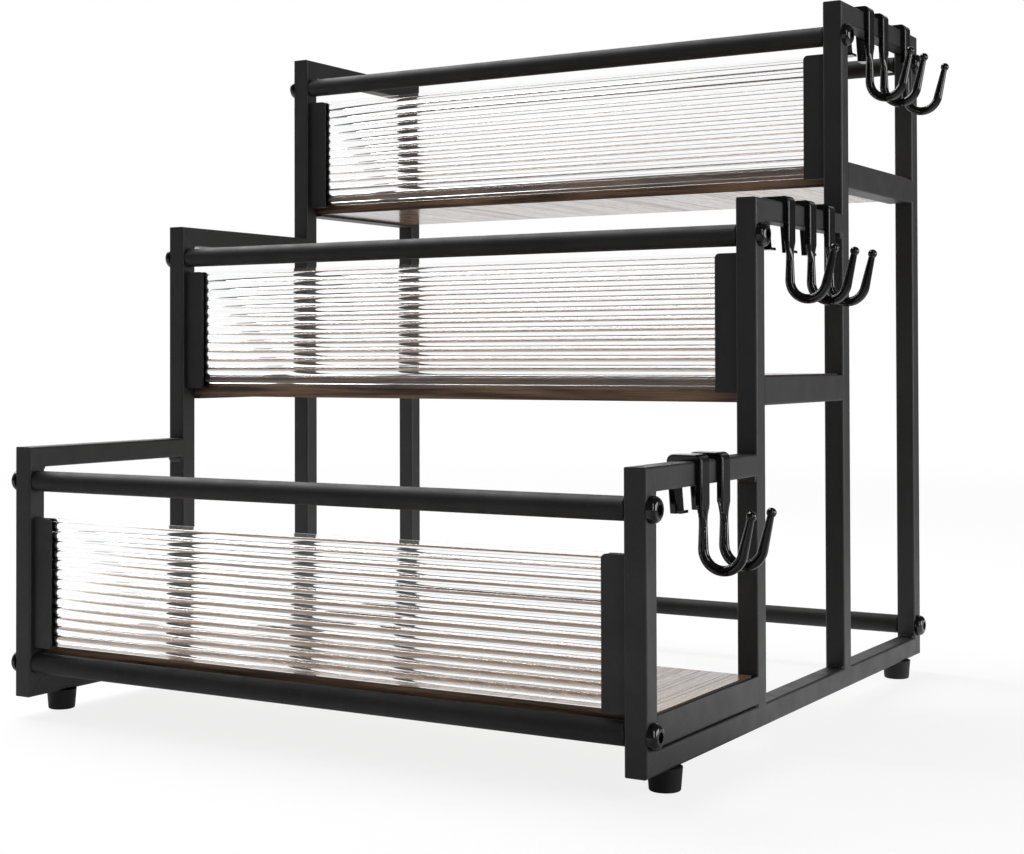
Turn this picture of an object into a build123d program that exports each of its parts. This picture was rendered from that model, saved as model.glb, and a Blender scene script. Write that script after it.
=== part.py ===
from build123d import *

import math
import os

# A three-tier coffee station organizer. Two stair-shaped side frames of welded
# square tube are tied by round cross bars, which are bolted on from outside.
# Each tier has a board on angle rails, and a clear ribbed panel at its front.
# Eight hooks clip over the right frame's top rails and slide along them.
# X runs left to right, Y front to rear, Z up. The origin is on the floor, at
# the middle of the whole outline, which the hooks widen on the right.

# Overall size: width across the bolt heads, without the hooks
overall_width = 338.0
overall_depth = 338.0
overall_height = 342.0

# Square tube
tube = 9.7
tube_wall = 0.8
tube_corner = 1.0

# Feet
foot_height = 9.4
foot_top_diameter = 14.2
foot_bottom_diameter = 12.6
foot_edge = 0.8
foot_setback = 26.0

# Stair: tops of the lower tiers, and the distance between the middle posts
tier_1_top = 127.3
tier_2_top = 238.4
middle_bay = 108.8

# Round cross bars: guard bars hang below the top rails, lower bars stand over
# the bottom rails
bar_diameter = 9.7
bar_edge = 0.8
guard_drop = 16.2
rear_guard_drop = 15.3
lower_bar_lift = 6.0
bar_bore_spare = 3.0

# Button-head bolts
bolt_head_diameter = 10.7
bolt_head_height = 3.6
bolt_head_rim = 0.9
bolt_face_diameter = 6.4
bolt_diameter = 5.9
bolt_play = 0.05
bolt_engagement = 13.0
socket_width = 4.0
socket_depth = 2.3

# Angle rails that carry the boards: the lowest lies just over the bottom rail,
# the others hang below their top rails. Their ends reach a share of the way
# round the posts' rounded corners
angle_height = 12.2
angle_lip = 12.7
angle_thickness = 1.2
angle_bend = 1.0
angle_gap = 0.5
angle_drop = 90.4
angle_tongue_share = 0.5

# Boards
board_thickness = 12.0
board_edge = 0.5
board_front_play = 0.3
board_rear_gap = 3.5
board_side_play = 0.4

# Panel brackets: channels welded to the posts' inner faces. The lowest starts
# level with its board, the others a little above their angle rails
bracket_setback = 2.4
bracket_sheet = 1.2
bracket_foot = 1.0
bracket_width = 10.8
bracket_corner = 2.2
bracket_lift_2 = 5.6
bracket_lift_3 = 4.5

# Ribbed clear panels: the one in the middle reaches up to this gap under its
# guard bar, and all three are alike
panel_guard_gap = 2.7
panel_sheet = 1.6
panel_play = 0.15
panel_end_play = 0.3
panel_proud = 0.2
rib_pitch = 4.43
rib_width = 3.8
rib_height = 1.3

# Hooks: all drops are measured down from the top of the rail. The inner leg
# leans in, so that its lip snaps under the rail
hook_width = 8.5
hook_strip = 2.6
hook_side_play = 0.1
hook_seat_play = 0.2
hook_outer_bend = 3.0
hook_inner_bend = 1.2
hook_edge = 0.8
hook_leg_lean = 4.5
hook_inner_leg = 21.2
hook_outer_leg = 17.6
hook_lip_reach = 2.2
hook_lip_thickness = 1.2
hook_neck_diameter = 3.6
hook_neck_drop = 26.0
hook_rod_diameter = 4.3
hook_bend_radius = 8.6
hook_bend_drop = 34.9
hook_tip_drop = 21.3
hook_tip_reach = 22.1
hook_tip_diameter = 2.8
hook_ball_diameter = 4.2

# Places of the hooks along each rail's free length, front to rear
hook_place_shares = ((0.397, 0.607), (0.263, 0.533, 0.783), (0.275, 0.498, 0.857))

# Sizes and places that follow
half_width = overall_width / 2 - bolt_head_height
front_y = -overall_depth / 2
rear_y = overall_depth / 2
reach_right = half_width + hook_tip_reach + hook_ball_diameter / 2
mid_x = (overall_width / 2 - reach_right) / 2
inner_half = half_width - tube
post_y = (front_y + tube / 2, -middle_bay / 2, middle_bay / 2, rear_y - tube / 2)
tier_top = (tier_1_top, tier_2_top, overall_height)
rail_top = foot_height + tube
lower_bar_z = rail_top + lower_bar_lift
angle_base = (rail_top + angle_gap, tier_2_top - angle_drop, overall_height - angle_drop)
bracket_base = (
    angle_base[0] + angle_thickness + board_thickness,
    angle_base[1] + bracket_lift_2,
    angle_base[2] + bracket_lift_3,
)
panel_space = angle_drop - bracket_lift_2 - bracket_foot - guard_drop - bar_diameter / 2
panel_height = panel_space - panel_guard_gap
bracket_height = bracket_foot + panel_height - panel_proud
bolt_hole_diameter = bolt_diameter + 2 * bolt_play
sides = {"left": -1, "right": 1}

# Every cross bar: name, then Y and Z of its axis, which meets two posts
bars = (
    ("guard_bar_1", post_y[0], tier_1_top - guard_drop),
    ("guard_bar_2", post_y[1], tier_2_top - guard_drop),
    ("guard_bar_3", post_y[2], overall_height - guard_drop),
    ("front_lower_bar", post_y[0], lower_bar_z),
    ("rear_lower_bar", post_y[3], lower_bar_z),
    ("rear_upper_bar", post_y[3], overall_height - rear_guard_drop),
)


def side_x(side, inset=0):
    """X of a side frame's outer face, or of a plane that far inside it."""
    return mid_x + side * (half_width - inset)


def post_front(index):
    """Y of a post's front face."""
    return post_y[index] - tube / 2


def bay_start(bay):
    """Y of the rear face of the post at the front of a bay."""
    return post_y[bay] + tube / 2


def bay_end(bay):
    """Y of the front face of the post at the rear of a bay."""
    return post_front(bay + 1)


def mitre(y, z, y_normal, z_normal):
    """Plane through one corner of the frame, seen from the side."""
    return Plane(origin=(mid_x, y, z), x_dir=(1, 0, 0), z_dir=(0, y_normal, z_normal))


def add_tube(x, start, end):
    """Hollow tube from start to end, both given as (y, z), in the open part."""
    first = Vector(x, *start)
    run = Vector(x, *end) - first
    inner = tube - 2 * tube_wall
    with BuildSketch(Plane(origin=first, x_dir=(1, 0, 0), z_dir=run)) as section:
        RectangleRounded(tube, tube, tube_corner)
        RectangleRounded(inner, inner, tube_corner - tube_wall, mode=Mode.SUBTRACT)
    extrude(section.sketch, amount=run.length)


def cope(x, start, end):
    """Takes the outer shape of a crossing tube out of the open part."""
    first = Vector(x, *start)
    run = Vector(x, *end) - first
    with BuildSketch(Plane(origin=first, x_dir=(1, 0, 0), z_dir=run)) as section:
        RectangleRounded(tube, tube, tube_corner)
    extrude(section.sketch, amount=run.length, mode=Mode.SUBTRACT)


def cross_holes(x, y, heights):
    """Bolt holes through a post, across the frame."""
    for z in heights:
        with BuildSketch(Plane(origin=(x, y, z), x_dir=(0, 1, 0), z_dir=(1, 0, 0))) as hole:
            Circle(bolt_hole_diameter / 2)
        extrude(hole.sketch, amount=tube, both=True, mode=Mode.SUBTRACT)


def make_post(side, index):
    """One post: mitred to its top rail, and closed or coped at its foot."""
    x = side_x(side, tube / 2)
    y = post_y[index]
    rear = index == len(tier_top)
    corner = rear or index == 0
    top = tier_top[-1] if rear else tier_top[index]
    outward = 1 if rear else -1
    base = foot_height if corner else rail_top - tube_corner
    with BuildPart() as post:
        add_tube(x, (y, base), (y, top))
        split(bisect_by=mitre(y, top - tube / 2, -outward, 1), keep=Keep.BOTTOM)
        if corner:
            split(bisect_by=mitre(y, base + tube / 2, outward, 1), keep=Keep.TOP)
        else:
            cope(x, (front_y, foot_height + tube / 2), (rear_y, foot_height + tube / 2))
        cross_holes(x, y, [bar_z for name, bar_y, bar_z in bars if bar_y == y])
    return post.part


def make_top_rail(side, bay):
    """Top rail of one tier, mitred at the front and welded to the next post."""
    x = side_x(side, tube / 2)
    z = tier_top[bay] - tube / 2
    last = bay == len(tier_top) - 1
    start = post_front(bay)
    end = rear_y if last else bay_end(bay) + tube_corner
    with BuildPart() as rail:
        add_tube(x, (start, z), (end, z))
        split(bisect_by=mitre(post_y[bay], z, 1, 1), keep=Keep.TOP)
        if last:
            split(bisect_by=mitre(post_y[-1], z, -1, 1), keep=Keep.TOP)
        else:
            cope(x, (post_y[bay + 1], rail_top), (post_y[bay + 1], overall_height))
    return rail.part


def make_bottom_rail(side):
    """Rail along the floor, mitred to the front and rear posts."""
    x = side_x(side, tube / 2)
    z = foot_height + tube / 2
    with BuildPart() as rail:
        add_tube(x, (front_y, z), (rear_y, z))
        split(bisect_by=mitre(post_y[0], z, -1, 1), keep=Keep.BOTTOM)
        split(bisect_by=mitre(post_y[-1], z, 1, 1), keep=Keep.BOTTOM)
    return rail.part


def make_angle(side, bay):
    """Angle rail under a board's side, its ends welded to two posts."""
    outer = side_x(side)
    wall = side_x(side, angle_thickness)
    inner = side_x(side, tube)
    lip = side_x(side, angle_lip)
    base = angle_base[bay]
    start = bay_start(bay)
    end = bay_end(bay)
    tongue = angle_tongue_share * tube_corner
    with BuildPart() as angle:
        with BuildSketch(Plane.XZ.offset(tongue - start)):
            with BuildLine():
                Polyline(
                    (outer, base),
                    (outer, base + angle_height),
                    (wall, base + angle_height),
                    (wall, base + angle_thickness),
                    (inner, base + angle_thickness),
                    (inner, base),
                    close=True,
                )
            make_face()
            fillet(vertices().sort_by_distance((outer, base))[0], angle_bend)
        extrude(amount=start - end - 2 * tongue)
        for index in (bay, bay + 1):
            cope(side_x(side, tube / 2), (post_y[index], foot_height), (post_y[index], overall_height))
        with BuildSketch(Plane.XY.offset(base)):
            with Locations(((inner + lip) / 2, (start + end) / 2)):
                Rectangle(abs(lip - inner), end - start)
        extrude(amount=angle_thickness)
    return angle.part


def make_bracket(side, tier):
    """Channel that holds one end of a panel, with a closed foot."""
    weld = side_x(side, tube)
    web = weld - side * bracket_sheet
    edge = weld - side * bracket_width
    slot = panel_sheet + rib_height + 2 * panel_play
    slot_y = post_front(tier) + bracket_setback + bracket_sheet + slot / 2
    base = bracket_base[tier]
    with BuildPart() as bracket:
        with BuildSketch(Plane.XY.offset(base)):
            with Locations(((weld + edge) / 2, slot_y)):
                Rectangle(bracket_width, slot + 2 * bracket_sheet)
        extrude(amount=bracket_height)
        with BuildSketch(Plane.XY.offset(base + bracket_foot)):
            with Locations(((web + edge) / 2, slot_y)):
                Rectangle(bracket_width - bracket_sheet, slot)
        extrude(amount=bracket_height, mode=Mode.SUBTRACT)
        flange_corners = bracket.edges().filter_by(Axis.Y).sort_by_distance((weld, slot_y, base))
        fillet(flange_corners[-2:], bracket_corner)
    return bracket.part


def make_panel(tier):
    """Clear panel: a thin sheet with rounded ribs along its front face."""
    front = post_front(tier) + bracket_setback + bracket_sheet + panel_play
    sheet_front = front + rib_height
    base = bracket_base[tier] + bracket_foot
    length = 2 * (inner_half - bracket_sheet - panel_end_play)
    count = int(panel_height / rib_pitch)
    margin = (panel_height - (count - 1) * rib_pitch) / 2
    with BuildPart() as panel:
        with BuildSketch(Plane.YZ.offset(mid_x - length / 2)):
            with Locations((sheet_front + panel_sheet / 2, base + panel_height / 2)):
                Rectangle(panel_sheet, panel_height)
            for number in range(count):
                z = base + margin + number * rib_pitch
                with BuildLine():
                    low = (sheet_front, z - rib_width / 2)
                    high = (sheet_front, z + rib_width / 2)
                    ThreePointArc(low, (front, z), high)
                    Line(high, low)
                make_face()
        extrude(amount=length)
    return panel.part


def make_board(tier):
    """Board that lies on the angle rails of one tier."""
    start = bay_start(tier) + board_front_play
    end = bay_end(tier) - board_rear_gap
    width = 2 * (half_width - angle_thickness - board_side_play)
    with BuildPart() as board:
        with BuildSketch(Plane.XY.offset(angle_base[tier] + angle_thickness)):
            with Locations((mid_x, (start + end) / 2)):
                Rectangle(width, end - start)
        extrude(amount=board_thickness)
        fillet(board.edges().filter_by(Axis.Z), board_edge)
        chamfer(board.faces().sort_by(Axis.Z)[-1].edges(), board_edge / 2)
    return board.part


def make_bar(y, z):
    """Round cross bar with a blind bolt bore in each end."""
    bore_depth = bolt_engagement + bar_bore_spare
    with BuildPart() as bar:
        with BuildSketch(Plane.YZ.offset(mid_x - inner_half)):
            with Locations((y, z)):
                Circle(bar_diameter / 2)
        extrude(amount=2 * inner_half)
        chamfer(bar.edges().filter_by(GeomType.CIRCLE), bar_edge)
        for side in sides.values():
            with BuildSketch(Plane.YZ.offset(mid_x + side * inner_half)):
                with Locations((y, z)):
                    Circle(bolt_hole_diameter / 2)
            extrude(amount=-side * bore_depth, mode=Mode.SUBTRACT)
    return bar.part


def make_bolts(side):
    """The six button-head bolts of one side."""
    rim = bolt_head_diameter / 2
    shank = bolt_diameter / 2
    length = tube + bolt_engagement
    with BuildPart() as bolts:
        for name, y, z in bars:
            seat = Plane(origin=(side_x(side), y, z), x_dir=(0, 1, 0), z_dir=(side, 0, 0))
            axis = Axis(seat.origin, seat.z_dir)
            profile = Plane(origin=seat.origin, x_dir=seat.x_dir, z_dir=(0, 0, -side))
            with BuildSketch(profile):
                with BuildLine():
                    Polyline(
                        (0, bolt_head_height),
                        (0, -length),
                        (shank, -length),
                        (shank, 0),
                        (rim, 0),
                        (rim, bolt_head_rim),
                    )
                    ThreePointArc(
                        (rim, bolt_head_rim),
                        (
                            (rim + bolt_face_diameter / 2) / 2 + bolt_head_rim / 2,
                            (bolt_head_height + bolt_head_rim) / 2 + bolt_head_rim / 2,
                        ),
                        (bolt_face_diameter / 2, bolt_head_height),
                    )
                    Line((bolt_face_diameter / 2, bolt_head_height), (0, bolt_head_height))
                make_face()
            revolve(axis=axis)
            with BuildSketch(seat.offset(bolt_head_height)):
                RegularPolygon(socket_width / 2, 6, major_radius=False)
            extrude(amount=-socket_depth, mode=Mode.SUBTRACT)
    return bolts.part


def make_foot(side, y):
    """Tapered rubber foot under a bottom rail."""
    x = side_x(side, tube / 2)
    with BuildPart() as foot:
        with BuildSketch(Plane.XZ.offset(-y)):
            with BuildLine():
                Polyline(
                    (x, 0),
                    (x + foot_bottom_diameter / 2, 0),
                    (x + foot_top_diameter / 2, foot_height),
                    (x, foot_height),
                    close=True,
                )
            make_face()
            fillet(vertices().sort_by_distance((x + foot_bottom_diameter, 0))[0], foot_edge)
        revolve(axis=Axis((x, y, 0), (0, 0, 1)))
    return foot.part


def hook_y(bay, number):
    """Y of the middle of a hook at rest."""
    start, end = bay_start(bay), bay_end(bay)
    return start + hook_place_shares[bay][number] * (end - start)


def make_hook(bay, number):
    """Hook: a strip bent over the rail, running into a round bent rod."""
    y = hook_y(bay, number)
    top = tier_top[bay]
    seat = top + hook_seat_play
    crown = seat + hook_strip
    inner_end = top - hook_inner_leg
    outer_end = top - hook_outer_leg
    lean = math.tan(math.radians(hook_leg_lean))
    inner_face = side_x(1, tube + hook_side_play) - lean * (tube - tube_corner)
    inner_toe = inner_face + lean * (seat - inner_end)
    outer_face = side_x(1, -hook_side_play)
    outer_front = outer_face + hook_strip
    rod_x = (outer_face + outer_front) / 2
    side_view = Plane.XZ.offset(-y)
    with BuildPart() as hook:
        with BuildSketch(side_view):
            with BuildLine():
                Polyline(
                    (inner_toe - hook_strip, inner_end),
                    (inner_face - hook_strip, crown),
                    (outer_front, crown),
                    (outer_front, outer_end),
                    (outer_face, outer_end),
                    (outer_face, seat),
                    (inner_face, seat),
                    (inner_toe, inner_end),
                    close=True,
                )
            make_face()
            fillet(vertices().filter_by_position(Axis.Y, crown, crown), hook_outer_bend)
            fillet(vertices().filter_by_position(Axis.Y, seat, seat), hook_inner_bend)
        extrude(amount=hook_width / 2, both=True)
        rim = ShapeList()
        for edge in hook.faces().filter_by(Axis.Y).edges():
            middle = edge.center()
            beside = middle.X < inner_face or middle.X > outer_front - hook_edge
            if beside or middle.Z > crown - hook_strip / 2:
                rim.append(edge)
        fillet(rim, hook_edge)
        with BuildSketch(side_view):
            with Locations((inner_toe, inner_end + hook_lip_thickness / 2)):
                Rectangle(2 * hook_lip_reach, hook_lip_thickness)
        extrude(amount=hook_width / 2 - hook_edge, both=True)
        with BuildSketch(Plane.XY.offset(outer_end)):
            with Locations((rod_x, y)):
                RectangleRounded(hook_strip, hook_width, hook_edge)
        with BuildSketch(Plane.XY.offset(top - hook_neck_drop)):
            with Locations((rod_x, y)):
                Circle(hook_neck_diameter / 2)
        loft()
        add_rod(rod_x, y, top)
    return hook.part


def add_rod(rod_x, y, top):
    """Rod of a hook: down, round the bend and up to its ball, in the open part."""
    bend = Vector(rod_x + hook_bend_radius, y, top - hook_bend_drop)
    tip = Vector(side_x(1, -hook_tip_reach), y, top - hook_tip_drop)
    to_tip = tip - bend
    rise = math.atan2(to_tip.Z, to_tip.X) - math.acos(hook_bend_radius / to_tip.length)
    bend_end = bend + Vector(math.cos(rise), 0, math.sin(rise)) * hook_bend_radius
    add_cone(Vector(rod_x, y, top - hook_neck_drop), Vector(rod_x, y, bend.Z), hook_neck_diameter)
    add_cone(tip, bend_end, hook_tip_diameter)
    with BuildSketch(Plane(origin=(rod_x, y, bend.Z))) as section:
        Circle(hook_rod_diameter / 2)
    turn = 180 + math.degrees(rise)
    revolve(section.sketch, axis=Axis(bend, (0, -1, 0)), revolution_arc=turn)
    with Locations(tip):
        Sphere(hook_ball_diameter / 2)


def add_cone(start, end, start_diameter):
    """Round stretch of a hook's rod, widening to the rod's full thickness."""
    ends = []
    for place, diameter in ((start, start_diameter), (end, hook_rod_diameter)):
        with BuildSketch(Plane(origin=place, x_dir=(0, 1, 0), z_dir=end - start)) as section:
            Circle(diameter / 2)
        ends.append(section.sketch)
    loft(ends, ruled=True)


pieces = {}
for side_name, side in sides.items():
    for index in range(len(post_y)):
        pieces[f"{side_name}_post_{index + 1}"] = make_post(side, index)
    for bay in range(len(tier_top)):
        pieces[f"{side_name}_top_rail_{bay + 1}"] = make_top_rail(side, bay)
        pieces[f"{side_name}_angle_rail_{bay + 1}"] = make_angle(side, bay)
        pieces[f"{side_name}_bracket_{bay + 1}"] = make_bracket(side, bay)
    pieces[f"{side_name}_bottom_rail"] = make_bottom_rail(side)
    pieces[f"{side_name}_bolts"] = make_bolts(side)
    pieces[f"{side_name}_front_foot"] = make_foot(side, front_y + foot_setback)
    pieces[f"{side_name}_rear_foot"] = make_foot(side, rear_y - foot_setback)
for name, y, z in bars:
    pieces[name] = make_bar(y, z)
for tier in range(len(tier_top)):
    pieces[f"board_{tier + 1}"] = make_board(tier)
    pieces[f"ribbed_panel_{tier + 1}"] = make_panel(tier)
    for number in range(len(hook_place_shares[tier])):
        pieces[f"hook_{tier + 1}_{number + 1}"] = make_hook(tier, number)

os.makedirs("parts", exist_ok=True)
for name, piece in pieces.items():
    piece.label = name
    export_step(piece, f"parts/{name}.step")
print(len(pieces), "pieces")
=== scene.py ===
import math

import bpy
from mathutils import Matrix, Vector


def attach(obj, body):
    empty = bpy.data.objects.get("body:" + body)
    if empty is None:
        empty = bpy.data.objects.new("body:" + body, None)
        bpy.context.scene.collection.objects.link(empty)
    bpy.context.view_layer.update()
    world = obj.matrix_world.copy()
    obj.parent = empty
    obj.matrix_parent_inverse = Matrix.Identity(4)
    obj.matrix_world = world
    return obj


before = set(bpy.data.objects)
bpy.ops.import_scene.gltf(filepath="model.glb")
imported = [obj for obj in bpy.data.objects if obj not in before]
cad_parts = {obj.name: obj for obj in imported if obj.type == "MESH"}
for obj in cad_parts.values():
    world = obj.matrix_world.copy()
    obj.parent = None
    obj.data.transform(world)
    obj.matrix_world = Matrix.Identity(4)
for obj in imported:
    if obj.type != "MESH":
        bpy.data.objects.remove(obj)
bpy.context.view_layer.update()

# The coffee station organizer: welded black frame, brown boards, clear ribbed
# panels and eight hooks. All sizes are in metres, in the frame of the parts.

MM = 0.001

# Sizes of the frame that the dressing follows
MID_X = -10.3 * MM
HALF_WIDTH = 165.4 * MM
TUBE = 9.7 * MM
FRONT_Y = -169.0 * MM
REAR_Y = 169.0 * MM
FOOT_HEIGHT = 9.4 * MM
MIDDLE_BAY = 108.8 * MM
TIER_TOP = (127.3 * MM, 238.4 * MM, 342.0 * MM)
POST_Y = (FRONT_Y + TUBE / 2, -MIDDLE_BAY / 2, MIDDLE_BAY / 2, REAR_Y - TUBE / 2)
RAIL_TOP = FOOT_HEIGHT + TUBE
SIDES = {"left": -1, "right": 1}

# Weld beads in the frame's corners. Those under the rails' rear ends are fuller
BEAD_LENGTH = 8.2 * MM
BEAD_RADIUS = 1.25 * MM
BEAD_RIPPLES = 6
BEAD_NUDGE = 0.25 * MM
BEAD_END_SHARE = 0.55
BEAD_DIP_SHARE = 0.86
BEAD_LUMP_SHARE = 0.05
BEAD_LUMP_TURN = 2.3
FULL_BEAD = (1.05, 1.0, 2.2)

# Ground welds over the mitres
SEAM_LENGTH = 10.6 * MM
SEAM_WIDTH = 1.0 * MM
SEAM_HEIGHT = 0.05 * MM
SEAM_INSET_SHARE = 0.30
SEAM_ROUND_SHARE = 0.8
MITRE = math.radians(45)


# ---- shader maths

class Value:
    """A socket that shader sums can be written with."""

    def __init__(self, finish, socket):
        self.finish = finish
        self.socket = socket

    def _math(self, operation, first, second):
        return self.finish.add("ShaderNodeMath", {"operation": operation}, {0: first, 1: second})

    def __add__(self, other):
        return self._math("ADD", self, other)

    def __radd__(self, other):
        return self._math("ADD", other, self)

    def __sub__(self, other):
        return self._math("SUBTRACT", self, other)

    def __rsub__(self, other):
        return self._math("SUBTRACT", other, self)

    def __mul__(self, other):
        return self._math("MULTIPLY", self, other)

    def __rmul__(self, other):
        return self._math("MULTIPLY", other, self)

    def __truediv__(self, other):
        return self._math("DIVIDE", self, other)

    def __rtruediv__(self, other):
        return self._math("DIVIDE", other, self)


class Finish:
    """A material that is built up node by node."""

    def __init__(self, name, tree=None):
        if tree is None:
            self.material = bpy.data.materials.new(name)
            self.material.use_nodes = True
            tree = self.material.node_tree
        self.tree = tree
        self.tree.nodes.clear()

    def add(self, kind, settings=None, sockets=None, output=0):
        """Adds one node: first its settings, then its sockets' values or links."""
        node = self.tree.nodes.new(kind)
        for key, value in (settings or {}).items():
            if key == "stops":
                ramp = node.color_ramp
                while len(ramp.elements) < len(value):
                    ramp.elements.new(0.5)
                for element, (place, colour) in zip(ramp.elements, value):
                    element.position = place
                    element.color = colour
            else:
                setattr(node, key, value)
        for key, value in (sockets or {}).items():
            if isinstance(value, Value):
                self.tree.links.new(value.socket, node.inputs[key])
            else:
                node.inputs[key].default_value = value
        return Value(self, node.outputs[output]) if node.outputs else None

    def coords(self, kind="Object"):
        """Coordinates of the surface, or its normal."""
        return self.add("ShaderNodeTexCoord", output=kind)

    def part_of(self, vector, axis):
        """One of a vector's three parts."""
        return self.add("ShaderNodeSeparateXYZ", {}, {"Vector": vector}, axis)

    def along(self, vector, direction):
        """How far a vector reaches in a direction."""
        return self.add(
            "ShaderNodeVectorMath",
            {"operation": "DOT_PRODUCT"},
            {0: vector, 1: direction},
            output="Value",
        )

    def streaks(self, coords, scale, detail, roughness):
        """Noise on coordinates that are stretched into a grain."""
        stretched = self.add("ShaderNodeMapping", {}, {"Vector": coords, "Scale": scale})
        return self.add(
            "ShaderNodeTexNoise",
            {},
            {"Vector": stretched, "Scale": 1.0, "Detail": detail, "Roughness": roughness},
        )

    def noise(self, size, detail=2.0, roughness=0.5, stretch=(1, 1, 1)):
        """Soft noise whose blots are about that size, in metres."""
        scale = tuple(part / size for part in stretch)
        return self.streaks(self.coords(), scale, detail, roughness)

    def between(self, value, low, high, to_low=0.0, to_high=1.0):
        """Maps a value from one range to another, held at its ends."""
        return self.add(
            "ShaderNodeMapRange",
            {"clamp": True, "interpolation_type": "SMOOTHSTEP"},
            {
                "Value": value,
                "From Min": low,
                "From Max": high,
                "To Min": to_low,
                "To Max": to_high,
            },
        )

    def blend(self, factor, first, second):
        """Mixes two colours."""
        return self.add(
            "ShaderNodeMix",
            {"data_type": "RGBA", "blend_type": "MIX", "clamp_factor": True},
            {0: factor, 6: first, 7: second},
            output=2,
        )

    def bump(self, height, depth, strength, under=None):
        """Bump from a height between 0 and 1, of that depth in metres."""
        sockets = {"Height": height, "Distance": depth, "Strength": strength}
        if under is not None:
            sockets["Normal"] = under
        return self.add("ShaderNodeBump", {}, sockets)

    def ray(self, kind):
        """What kind of ray arrives, or how often it has bounced."""
        return self.add("ShaderNodeLightPath", output=kind)

    def seen(self):
        """1 where the camera looks straight at this or through clear plastic.
        A ray that bounced before it passed the plastic counts for half."""
        bounces = self.ray("Glossy Depth") + self.ray("Diffuse Depth")
        straight = self.add("ShaderNodeMath", {"operation": "LESS_THAN"}, {0: bounces, 1: 0.5})
        through = self.ray("Is Transmission Ray") * (0.5 + straight * 0.5)
        looks = self.ray("Is Camera Ray") + through
        return self.add("ShaderNodeMath", {"operation": "MINIMUM"}, {0: looks, 1: 1.0})

    def close(self, sockets):
        """Adds the surface shader and the output."""
        surface = self.add("ShaderNodeBsdfPrincipled", {}, sockets)
        self.add("ShaderNodeOutputMaterial", {}, {"Surface": surface})
        return self.material


def rgb(red, green, blue):
    """An opaque colour."""
    return (red, green, blue, 1.0)


def grey(level):
    return rgb(level, level, level)


# ---- finishes

# Where blots turn from their low side to their high side
SOFT = (0.35, 0.65)
BROAD = (0.3, 0.7)


def satin_black_paint(name, dark, pale, gloss, peel=0.35, shine=0.5):
    """Powder coat: fine orange peel, faint clouds, dust and rubbed marks."""
    rubbed, dusty = grey(0.040), grey(0.080)
    finish = Finish(name)
    clouds = finish.noise(size=0.030, detail=3.0)
    dust = finish.between(finish.noise(size=0.0009, detail=1.0), low=0.70, high=0.76)
    worn = finish.noise(size=0.006, detail=4.0, roughness=0.65, stretch=(1.0, 1.0, 0.35))
    rubs = finish.between(worn, low=0.60, high=0.80)
    colour = finish.blend(finish.between(clouds, *SOFT), grey(dark), grey(pale))
    colour = finish.blend(rubs * 0.35, colour, rubbed)
    colour = finish.blend(dust * 0.25, colour, dusty)
    fine = finish.noise(size=0.0011, detail=2.0, roughness=0.55)
    rough = finish.between(finish.noise(size=0.012, detail=4.0), *BROAD, *gloss)
    rough = rough + (fine - 0.5) * 0.10 + rubs * 0.05
    normal = finish.bump(fine, depth=0.00004, strength=peel)
    waves = finish.noise(size=0.0045, detail=2.0)
    normal = finish.bump(waves, depth=0.00006, strength=0.25, under=normal)
    return finish.close(
        {"Base Color": colour, "Roughness": rough, "Normal": normal, "Specular IOR Level": shine}
    )


def gloss_black_paint(name, dark, gloss):
    """Smooth dipped coating, with hair scratches, dust and a few dull patches."""
    pale, dusty = grey(dark * 1.8), grey(0.050)
    finish = Finish(name)
    clouds = finish.noise(size=0.010, detail=3.0)
    scratches = finish.noise(size=0.0016, detail=2.0, roughness=0.6, stretch=(1.0, 1.0, 0.06))
    hair = finish.between(scratches, low=0.66, high=0.74)
    dust = finish.between(finish.noise(size=0.0007, detail=1.0), low=0.72, high=0.78)
    colour = finish.blend(finish.between(clouds, *SOFT), grey(dark), pale)
    colour = finish.blend(dust * 0.20, colour, dusty)
    rough = finish.between(clouds, *BROAD, *gloss) + hair * 0.12
    waves = finish.noise(size=0.0024, detail=2.0)
    normal = finish.bump(waves, depth=0.00005, strength=0.20)
    normal = finish.bump(hair, depth=0.00001, strength=0.30, under=normal)
    return finish.close({"Base Color": colour, "Roughness": rough, "Normal": normal})


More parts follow.
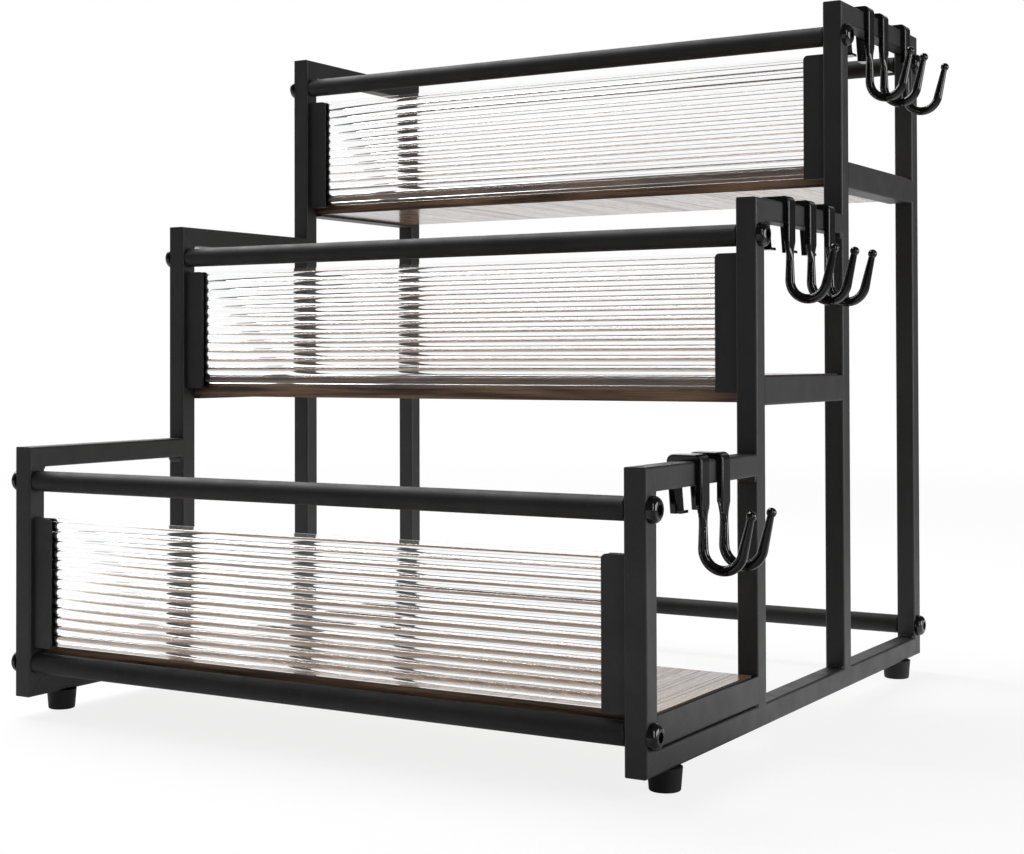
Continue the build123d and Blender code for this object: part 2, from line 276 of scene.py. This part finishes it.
def brown_laminate(name):
    """Printed wood grain from front to rear under a clear film. The edges have
    strips with a grain of their own, and the strips on the boards' left and right
    sides are painted near-black as shade."""
    grain_stops = (
        (0.30, rgb(0.105, 0.052, 0.027)),
        (0.45, rgb(0.225, 0.126, 0.066)),
        (0.58, rgb(0.320, 0.190, 0.106)),
        (0.74, rgb(0.410, 0.260, 0.152)),
    )
    pore_brown = rgb(0.060, 0.030, 0.016)
    line_brown = rgb(0.030, 0.015, 0.009)
    edge_dark, edge_pale = rgb(0.045, 0.021, 0.010), rgb(0.250, 0.150, 0.088)
    # painted shade: near-black for the edge strips that face left and right
    painted_side_shade = rgb(0.010, 0.005, 0.003)
    face_gloss, edge_gloss = (0.15, 0.21), (0.38, 0.52)
    film_weight, film_roughness = 0.42, 0.14
    bend_reach = (0.006, 0.0, 0.0)

    finish = Finish(name)
    coords = finish.coords()
    bend = finish.noise(size=0.090, detail=1.0)
    bend = finish.add("ShaderNodeCombineXYZ", {}, {"X": bend, "Y": 0.0, "Z": 0.0})
    bent = finish.add(
        "ShaderNodeVectorMath", {"operation": "MULTIPLY_ADD"}, {0: bend, 1: bend_reach, 2: coords}
    )
    bands = finish.streaks(bent, scale=(230.0, 8.0, 60.0), detail=6.0, roughness=0.62)
    lines = finish.streaks(bent, scale=(760.0, 4.0, 60.0), detail=2.0, roughness=0.5)
    pores = finish.streaks(bent, scale=(2100.0, 90.0, 900.0), detail=3.0, roughness=0.6)
    strips = finish.streaks(coords, scale=(14.0, 14.0, 420.0), detail=5.0, roughness=0.6)
    fine = finish.between(pores, low=0.42, high=0.60)
    thin = finish.between(lines, low=0.54, high=0.64)

    facing = finish.coords("Normal")
    up, aside = finish.part_of(facing, "Z"), finish.part_of(facing, "X")
    face = finish.between(up * up, low=0.60, high=0.85)
    flank_shade = finish.between(aside * aside, low=0.25, high=0.60)

    grain = finish.add("ShaderNodeValToRGB", {"stops": grain_stops}, {"Fac": bands})
    grain = finish.blend(fine * 0.50, grain, pore_brown)
    grain = finish.blend(thin * 0.70, grain, line_brown)
    edging = finish.blend(finish.between(strips, low=0.35, high=0.68), edge_dark, edge_pale)
    # painted shade: edges that face left and right are darkened almost to black
    edging = finish.blend(flank_shade * 0.90, edging, painted_side_shade)
    colour = finish.blend(face, edging, grain)

    face_rough = finish.between(bands, *BROAD, *face_gloss) + fine * 0.10 + thin * 0.12
    edge_rough = finish.between(strips, *BROAD, *edge_gloss)
    rough = face_rough * face + edge_rough * (1 - face)
    relief = pores * face + strips * (1 - face)
    return finish.close(
        {
            "Base Color": colour,
            "Roughness": rough,
            "Normal": finish.bump(relief, depth=0.00003, strength=0.15),
            "Coat Weight": face * (1 - thin * 0.4) * film_weight,
            "Coat Roughness": film_roughness,
        }
    )


def clear_sheet(name):
    """Clear plastic with faint moulding waves and hair scratches."""
    tint, gloss = rgb(0.988, 0.992, 0.992), (0.01, 0.03)
    finish = Finish(name)
    smears = finish.noise(size=0.020, detail=3.0, roughness=0.6)
    scratches = finish.noise(size=0.0012, detail=2.0, roughness=0.6, stretch=(0.08, 1.0, 1.0))
    hair = finish.between(scratches, low=0.68, high=0.76)
    waves = finish.noise(size=0.014, detail=1.0, roughness=0.5, stretch=(0.2, 1.0, 1.0))
    return finish.close(
        {
            "Base Color": finish.blend(smears, tint, grey(1.0)),
            "Roughness": finish.between(smears, *BROAD, *gloss) + hair * 0.02,
            "Normal": finish.bump(waves, depth=0.00002, strength=0.03),
            "Transmission Weight": 1.0,
            "IOR": 1.49,
        }
    )


def black_rubber(name):
    """Dull rubber with a fine grain, paler with dust towards the floor."""
    dark, pale, dusty = grey(0.003), grey(0.007), grey(0.018)
    gloss = (0.50, 0.62)
    dust_height = 4 * MM
    finish = Finish(name)
    height = finish.part_of(finish.coords(), "Z")
    patches = finish.noise(size=0.005, detail=3.0)
    dust = (1 - finish.between(height, low=0.0, high=dust_height)) * patches
    colour = finish.blend(patches, dark, pale)
    colour = finish.blend(dust * 0.5, colour, dusty)
    grain = finish.noise(size=0.0006, detail=2.0, roughness=0.6)
    return finish.close(
        {
            "Base Color": colour,
            "Roughness": finish.between(patches, *BROAD, *gloss) + dust * 0.1,
            "Normal": finish.bump(grain, depth=0.00006, strength=0.45),
            "Specular IOR Level": 0.25,
        }
    )


WELD_PAINT = satin_black_paint("painted_weld", 0.008, 0.014, gloss=(0.42, 0.52), peel=0.8)
FRAME_PAINT = satin_black_paint("satin_black_frame", 0.010, 0.014, gloss=(0.46, 0.54))

# The finish of each CAD node, by the first of these words that is in its name
FINISHES = {
    "foot": black_rubber("black_rubber_foot"),
    "bolts": gloss_black_paint("gloss_black_bolt", 0.0030, gloss=(0.07, 0.13)),
    "hook": gloss_black_paint("gloss_black_hook", 0.0025, gloss=(0.05, 0.10)),
    "panel": clear_sheet("clear_ribbed_plastic"),
    "board": brown_laminate("brown_wood_laminate"),
    "angle": satin_black_paint("satin_black_angle_rail", 0.011, 0.015, gloss=(0.46, 0.54)),
    "bracket": satin_black_paint("satin_black_bracket", 0.010, 0.015, gloss=(0.46, 0.54)),
    "bar": satin_black_paint("satin_black_bar", 0.011, 0.015, gloss=(0.58, 0.66), shine=0.30),
}

for name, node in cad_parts.items():
    word = next((word for word in FINISHES if word in name), None)
    for slot in node.material_slots:
        slot.material = FINISHES[word] if word else FRAME_PAINT


# ---- modelling by hand

def lay_down():
    """Nothing is selected, and nothing is being edited."""
    if bpy.context.object and bpy.context.object.mode != "OBJECT":
        bpy.ops.object.mode_set(mode="OBJECT")
    bpy.ops.object.select_all(action="DESELECT")


def take(piece):
    """Only this piece is selected."""
    lay_down()
    piece.select_set(True)
    bpy.context.view_layer.objects.active = piece


def settle(piece):
    """Moves the piece's place, turn and scale into its mesh."""
    take(piece)
    bpy.ops.object.transform_apply(location=True, rotation=True, scale=True)


def pick_faces(piece, test):
    """In edit mode, selects the faces whose normal passes the test."""
    bpy.ops.mesh.select_mode(type="FACE")
    bpy.ops.mesh.select_all(action="DESELECT")
    bpy.ops.object.mode_set(mode="OBJECT")
    for face in piece.data.polygons:
        face.select = test(face.normal)
    bpy.ops.object.mode_set(mode="EDIT")


def again(piece, name, at, turn=(0, 0, 0), scale=(1, 1, 1)):
    """A copy of a piece with its own mesh, placed and settled."""
    take(piece)
    bpy.ops.object.duplicate(linked=False)
    copy = bpy.context.object
    copy.name = name
    copy.location = at
    copy.rotation_euler = turn
    copy.scale = scale
    settle(copy)
    return copy


def gather(pieces, name):
    """Joins copies into one piece, paints it and lets it ride on the frame."""
    lay_down()
    for piece in pieces:
        piece.select_set(True)
    bpy.context.view_layer.objects.active = pieces[0]
    bpy.ops.object.join()
    whole = bpy.context.object
    whole.name = name
    whole.data.name = name
    whole.data.materials.clear()
    whole.data.materials.append(WELD_PAINT)
    settle(whole)
    bpy.ops.object.shade_smooth()
    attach(whole, "organizer")


def model_bead():
    """A weld bead along X, a little lumpy, with round ends."""
    lay_down()
    step = BEAD_LENGTH / BEAD_RIPPLES
    stub = step * 0.3
    bpy.ops.mesh.primitive_cylinder_add(
        vertices=10,
        radius=BEAD_RADIUS * BEAD_END_SHARE,
        depth=stub,
        location=(-BEAD_LENGTH / 2, 0, 0),
        rotation=(0, math.pi / 2, 0),
    )
    bead = bpy.context.object
    settle(bead)
    bpy.ops.object.mode_set(mode="EDIT")
    pick_faces(bead, lambda normal: normal.x > 0.9)
    shares = [1.0, BEAD_DIP_SHARE] * (BEAD_RIPPLES - 1) + [1.0, BEAD_END_SHARE]
    width = BEAD_END_SHARE
    for number, share in enumerate(shares):
        bpy.ops.mesh.extrude_region_move(
            TRANSFORM_OT_translate={"value": (step / 2, 0, 0)}
        )
        lump = share * (1 + BEAD_LUMP_SHARE * math.sin(number * BEAD_LUMP_TURN))
        bpy.ops.transform.resize(value=(1, lump / width, lump / width))
        width = lump
    bpy.ops.object.mode_set(mode="OBJECT")
    rounding = bead.modifiers.new("rounding", "SUBSURF")
    rounding.levels = 1
    rounding.render_levels = 1
    bpy.ops.object.modifier_apply(modifier="rounding")
    return bead


def model_seam():
    """A ground mitre weld: a flat low ridge along Y, on a face that looks to +X."""
    lay_down()
    bpy.ops.mesh.primitive_cube_add(size=1, location=(0, 0, 0))
    seam = bpy.context.object
    seam.scale = (SEAM_HEIGHT * 2, SEAM_LENGTH, SEAM_WIDTH)
    settle(seam)
    bpy.ops.object.mode_set(mode="EDIT")
    pick_faces(seam, lambda normal: abs(normal.x) > 0.9)
    bpy.ops.mesh.inset(thickness=SEAM_WIDTH * SEAM_INSET_SHARE, use_boundary=True)
    bpy.ops.object.mode_set(mode="OBJECT")
    rounding = seam.modifiers.new("rounding", "BEVEL")
    rounding.width = SEAM_HEIGHT * SEAM_ROUND_SHARE
    rounding.segments = 2
    rounding.limit_method = "ANGLE"
    bpy.ops.object.modifier_apply(modifier="rounding")
    return seam


def side_x(side, inset):
    """X of a side frame, that far in from its outer face."""
    return MID_X + side * (HALF_WIDTH - inset)


def weld_corners(side_name, side, bead):
    """A bead in each corner where a rail meets a post. Each corner has its post,
    the way to the bead along Y, its height, the way up or down, and a scale."""
    corners = []
    for bay, top in enumerate(TIER_TOP):
        corners.append((bay, 1, top - TUBE, -1, (1, 1, 1)))
        corners.append((bay + 1, -1, top - TUBE, -1, FULL_BEAD))
    for index, way in ((0, 1), (3, -1), (1, -1), (1, 1), (2, -1), (2, 1)):
        corners.append((index, way, RAIL_TOP, 1, (1, 1, 1)))
    welds = []
    for index, toward_y, z, toward_z, scale in corners:
        place = (
            side_x(side, TUBE / 2),
            POST_Y[index] + toward_y * (TUBE / 2 + BEAD_NUDGE),
            z + toward_z * BEAD_NUDGE * scale[2],
        )
        welds.append(again(bead, "weld", place, scale=scale))
    gather(welds, f"{side_name}_weld_beads")


def grind_mitres(side_name, side, seam):
    """A seam over each mitre, on the frame's outer and inner faces. Each mitre
    has its Y, its Z and its turn."""
    rail_middle = FOOT_HEIGHT + TUBE / 2
    mitres = [(POST_Y[bay], top - TUBE / 2, -MITRE) for bay, top in enumerate(TIER_TOP)]
    mitres.append((POST_Y[3], TIER_TOP[2] - TUBE / 2, MITRE))
    mitres.append((POST_Y[0], rail_middle, MITRE))
    mitres.append((POST_Y[3], rail_middle, -MITRE))
    seams = []
    for inset in (0.0, TUBE):
        for y, z, turn in mitres:
            seams.append(again(seam, "seam", (side_x(side, inset), y, z), (turn, 0, 0)))
    gather(seams, f"{side_name}_mitre_seams")


bead = model_bead()
seam = model_seam()
for side_name, side in SIDES.items():
    weld_corners(side_name, side, bead)
    grind_mitres(side_name, side, seam)
for pattern in (bead, seam):
    take(pattern)
    bpy.ops.object.delete()


# ---- floor, light and camera

def studio_floor():
    """Pale floor that fades into the background and keeps a soft shadow. Gloss
    sees it bright at the left rear and close by on the right, and less so in
    front."""
    left_rear, right, before = (-0.77, 0.64, 0.0), (0.85, 0.53, 0.0), (-0.52, -0.85, 0.0)
    front_glow = 0.40
    matt_grey = grey(0.86)
    # How much of the floor is plain white beside the object. Far off it all is
    white_seen, white_in_gloss = 0.84, 0.85

    lay_down()
    bpy.ops.mesh.primitive_circle_add(
        vertices=96, radius=6.0, fill_type="NGON", location=(0, 0, -0.2 * MM)
    )
    floor = bpy.context.object
    floor.name = "studio_floor"
    finish = Finish("pale_floor")
    coords = finish.coords()
    away = finish.add("ShaderNodeVectorMath", {"operation": "LENGTH"}, {0: coords}, "Value")
    far = finish.between(away, low=0.5, high=2.2)
    near = 1 - finish.between(away, low=0.30, high=0.90)
    lit = finish.between(
        finish.along(coords, left_rear) / away, low=0.30, high=0.80, to_low=0.22, to_high=1.0
    )
    glow = finish.between(finish.along(coords, right) / away, low=0.55, high=0.92) * near
    front = finish.between(finish.along(coords, before) / away, low=0.20, high=0.70)
    seen = finish.seen()
    in_gloss = (1 - seen) * finish.ray("Is Glossy Ray")
    matt = finish.add("ShaderNodeBsdfDiffuse", {}, {"Color": matt_grey})
    strength = seen + (1 - seen) * (lit + glow + front * front_glow)
    white = finish.add("ShaderNodeEmission", {}, {"Color": grey(1.0), "Strength": strength})
    share = seen * (white_seen + far * (1 - white_seen))
    share = share + in_gloss * (white_in_gloss + far * (1 - white_in_gloss))
    mixed = finish.add("ShaderNodeMixShader", {}, {0: share, 1: matt, 2: white})
    finish.add("ShaderNodeOutputMaterial", {}, {"Surface": mixed})
    floor.data.materials.append(finish.material)


def studio_world():
    """White surroundings, which light the object from the left rear."""
    left_rear_above = (-0.75, 0.60, 0.28)
    world = bpy.data.worlds.new("studio")
    bpy.context.scene.world = world
    world.use_nodes = True
    room = Finish("studio", world.node_tree)
    lean = room.along(room.coords("Generated"), left_rear_above)
    lit = room.between(lean, low=0.42, high=0.82, to_low=0.08, to_high=1.00)
    seen = room.seen()
    strength = seen + (1 - seen) * lit
    light = room.add("ShaderNodeBackground", {}, {"Color": grey(1.0), "Strength": strength})
    room.add("ShaderNodeOutputWorld", {}, {"Surface": light})


def softbox(name, at, target, size, power):
    """An oblong lamp that faces its target."""
    lamp = bpy.data.lights.new(name, "AREA")
    lamp.shape = "RECTANGLE"
    lamp.size, lamp.size_y = size
    lamp.energy = power
    box = bpy.data.objects.new(name, lamp)
    bpy.context.scene.collection.objects.link(box)
    box.location = at
    box.rotation_euler = (Vector(target) - Vector(at)).to_track_quat("-Z", "Y").to_euler()


def place_camera(at, turn, tilt, roll, focal_length, shift):
    """The camera at the photograph's angle. Its angles are in degrees."""
    turn, tilt, roll = math.radians(turn), math.radians(tilt), math.radians(roll)
    forward = Vector(
        (-math.sin(turn) * math.cos(tilt), math.cos(turn) * math.cos(tilt), -math.sin(tilt))
    )
    right = Vector((math.cos(turn), math.sin(turn), 0))
    up = right.cross(forward)
    level_right = right * math.cos(roll) + up * math.sin(roll)
    level_up = up * math.cos(roll) - right * math.sin(roll)
    lens = bpy.data.cameras.new("camera")
    lens.sensor_width = 36.0
    lens.lens = focal_length
    lens.shift_x, lens.shift_y = shift
    lens.clip_start = 10 * MM
    camera = bpy.data.objects.new("camera", lens)
    bpy.context.scene.collection.objects.link(camera)
    axes = Matrix((level_right, level_up, -forward)).transposed()
    camera.matrix_world = Matrix.Translation(at) @ axes.to_4x4()
    bpy.context.scene.camera = camera


studio_floor()
studio_world()

# Each softbox: its place, target, width and length, and power in watts
softbox("tall_right_softbox", (1.11, -0.67, 0.60), (0, 0, 0.20), (0.07, 1.10), 4.4)
softbox("low_right_softbox", (1.35, 0.45, 0.32), (0.1, 0, 0.15), (0.90, 0.60), 10.0)
softbox("large_top_softbox", (-0.88, 0.18, 1.15), (-0.60, 0.18, 0.0), (0.90, 1.25), 27.0)
place_camera(
    at=(0.448234, -0.776446, 0.168409),
    turn=31.522,
    tilt=-0.799,
    roll=-0.131,
    focal_length=62.43,
    shift=(0.0447, -0.0904),
)
bpy.context.scene.view_settings.view_transform = "Standard"

lay_down()
